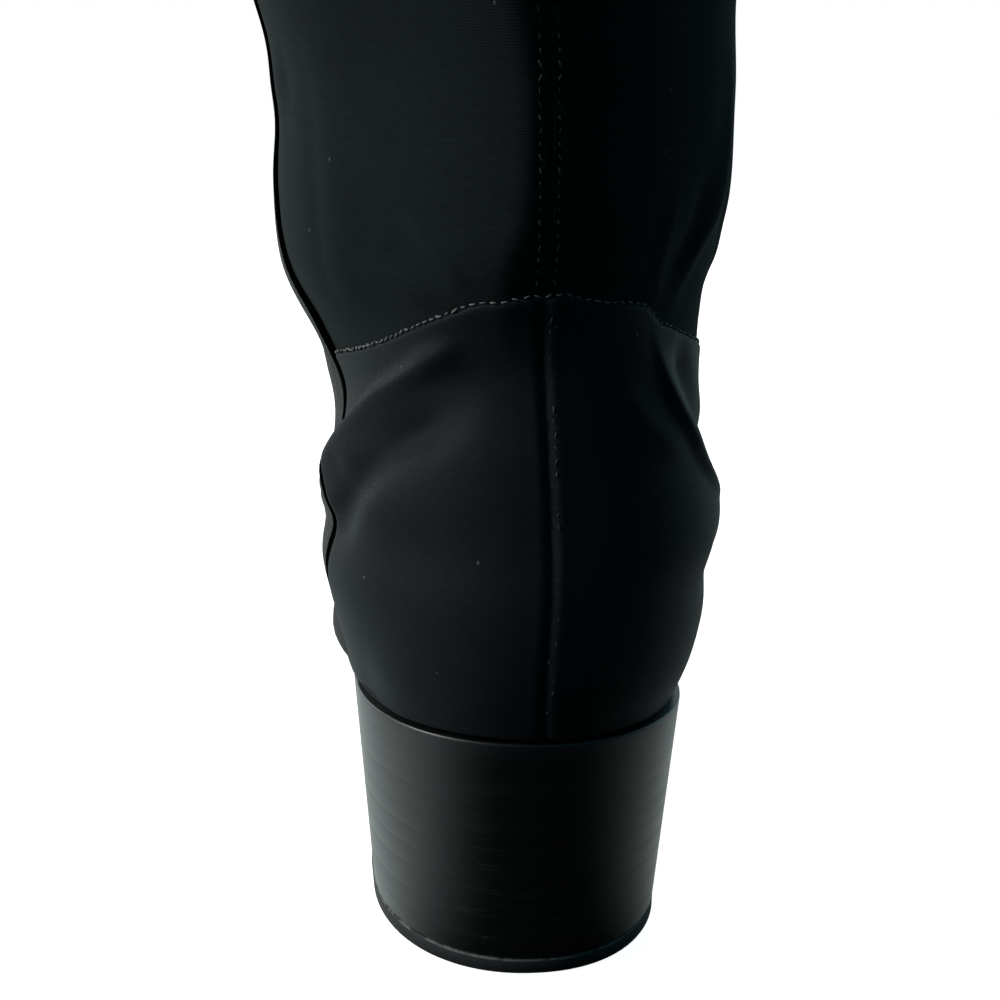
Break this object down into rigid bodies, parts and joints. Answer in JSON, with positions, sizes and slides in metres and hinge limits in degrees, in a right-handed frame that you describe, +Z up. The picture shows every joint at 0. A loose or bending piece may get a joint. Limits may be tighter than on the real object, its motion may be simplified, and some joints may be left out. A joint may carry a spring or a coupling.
{
  "type": "over-the-knee boot",
  "caption": "Over-the-knee boot for the left foot, standing empty: leather front, matte fabric back and counter with an arched seam, thin sole and low stacked block heel.",
  "frame": {"origin": "on the floor, under the middle of the heel", "axes": "+Z up along the shaft, -Y towards the toe, +X towards the wearer's left, the outer side of this boot"},
  "size_m": [0.13, 0.2698, 0.6401],
  "materials": {
    "cloth": "matte black woven stretch cloth with a fine twill",
    "leather": "black grained leather, soft sheen",
    "heel_lacquer": "black polished stack, semi-gloss",
    "sole_rubber": "black rubber, dull",
    "lining": "dark lining, matte"
  },
  "bodies": {
    "root": {"upper": "cloth", "counter": "cloth", "leather_front": "leather", "outsole": "sole_rubber", "heel": "heel_lacquer", "heel_tip": "sole_rubber", "insole": "lining"}
  },
  "joints": []
}
